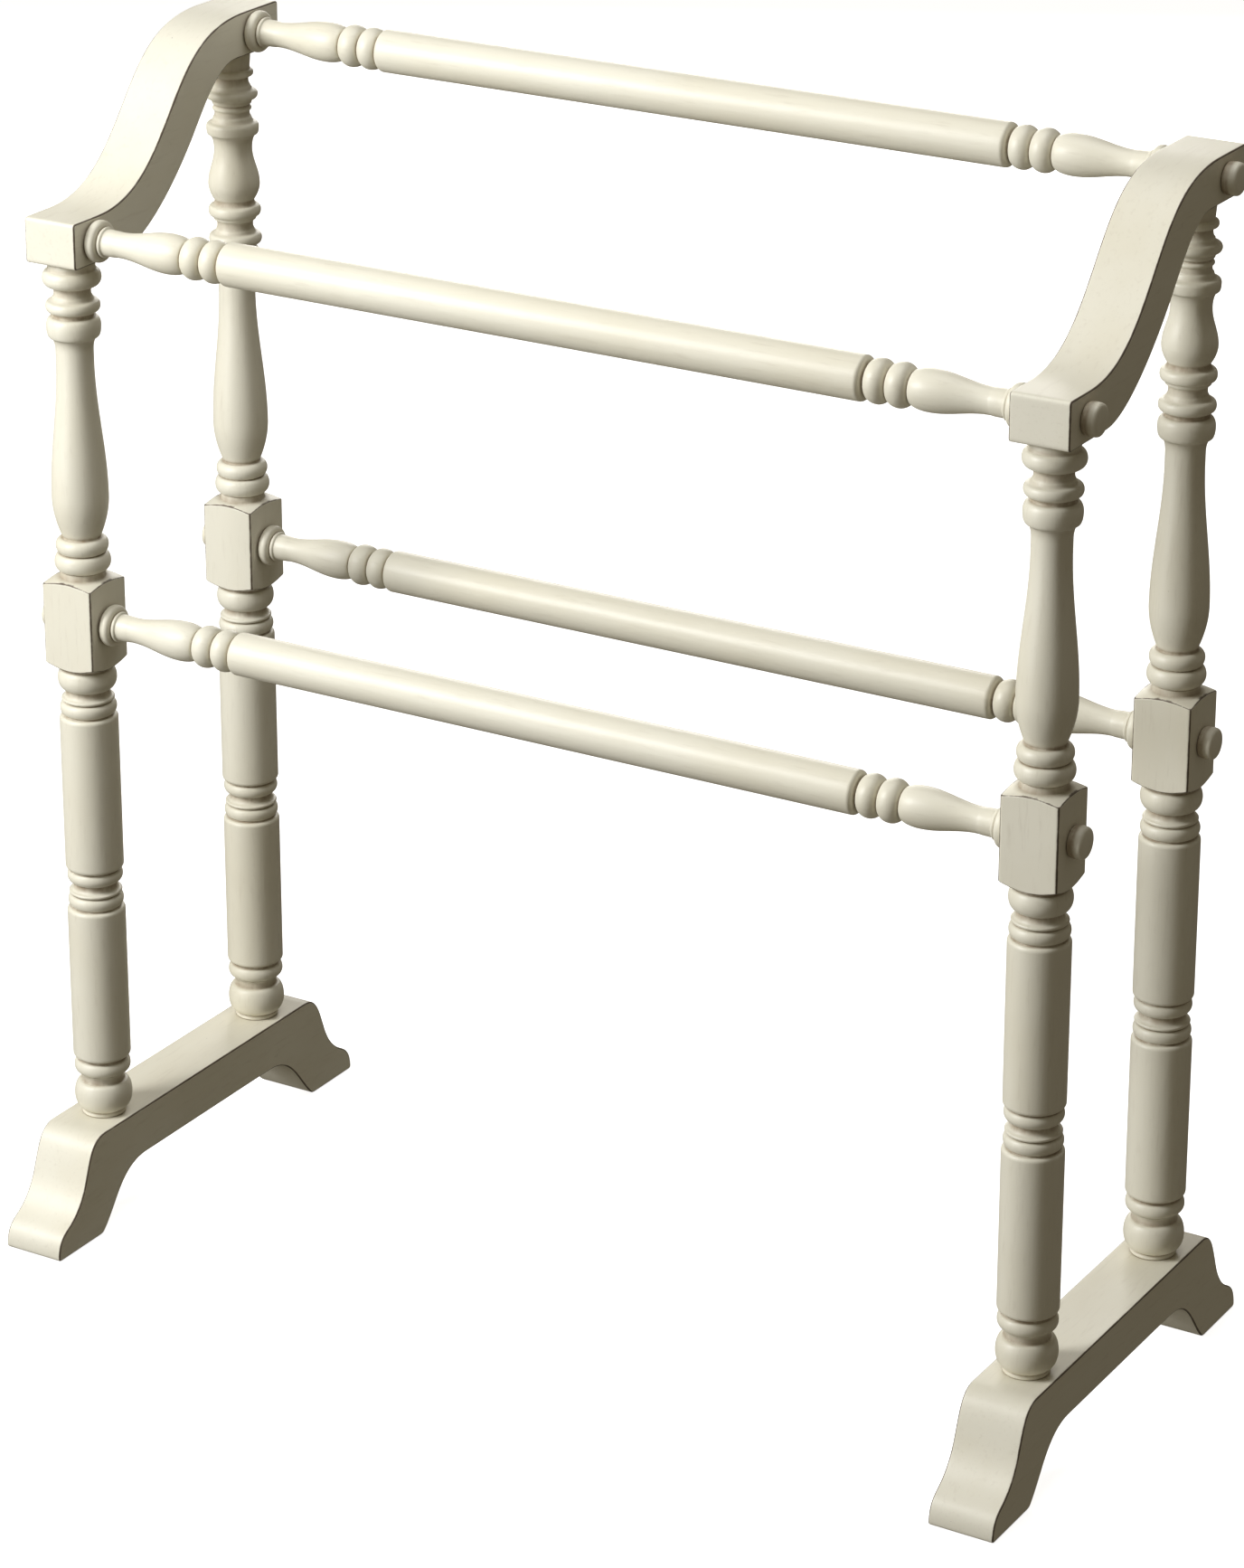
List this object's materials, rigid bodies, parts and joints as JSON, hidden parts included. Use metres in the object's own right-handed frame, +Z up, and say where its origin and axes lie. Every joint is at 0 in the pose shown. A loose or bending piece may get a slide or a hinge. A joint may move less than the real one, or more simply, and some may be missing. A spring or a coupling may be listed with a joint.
{
  "type": "quilt rack",
  "caption": "Free-standing turned-wood quilt rack in cream paint: paired feet, baluster posts and S-shaped arms carrying turned rails at stepped heights.",
  "frame": {"origin": "on the floor, at the middle of the rack's bounding box", "axes": "+Z up, +X along the rails to the rack's right, +Y from the low front rail to the high back rail"},
  "size_m": [0.7372, 0.34, 0.7805],
  "materials": {
    "cream_paint": "satin cream paint with a thin tan glaze left in the grooves",
    "screw_steel": "zinc plated wood screw"
  },
  "bodies": {
    "root": {"left_foot": "cream_paint", "left_front_post": "cream_paint", "left_back_post": "cream_paint", "left_arm": "cream_paint", "left_upper_front_cap": "cream_paint", "left_upper_front_screw": "screw_steel", "left_upper_back_cap": "cream_paint", "left_upper_back_screw": "screw_steel", "left_lower_front_cap": "cream_paint", "left_lower_front_screw": "screw_steel", "left_lower_back_cap": "cream_paint", "left_lower_back_screw": "screw_steel", "left_front_foot_screw": "screw_steel", "left_back_foot_screw": "screw_steel", "right_foot": "cream_paint", "right_front_post": "cream_paint", "right_back_post": "cream_paint", "right_arm": "cream_paint", "right_upper_front_cap": "cream_paint", "right_upper_front_screw": "screw_steel", "right_upper_back_cap": "cream_paint", "right_upper_back_screw": "screw_steel", "right_lower_front_cap": "cream_paint", "right_lower_front_screw": "screw_steel", "right_lower_back_cap": "cream_paint", "right_lower_back_screw": "screw_steel", "right_front_foot_screw": "screw_steel", "right_back_foot_screw": "screw_steel", "upper_front_rail": "cream_paint", "upper_back_rail": "cream_paint", "lower_front_rail": "cream_paint", "lower_back_rail": "cream_paint"}
  },
  "joints": []
}
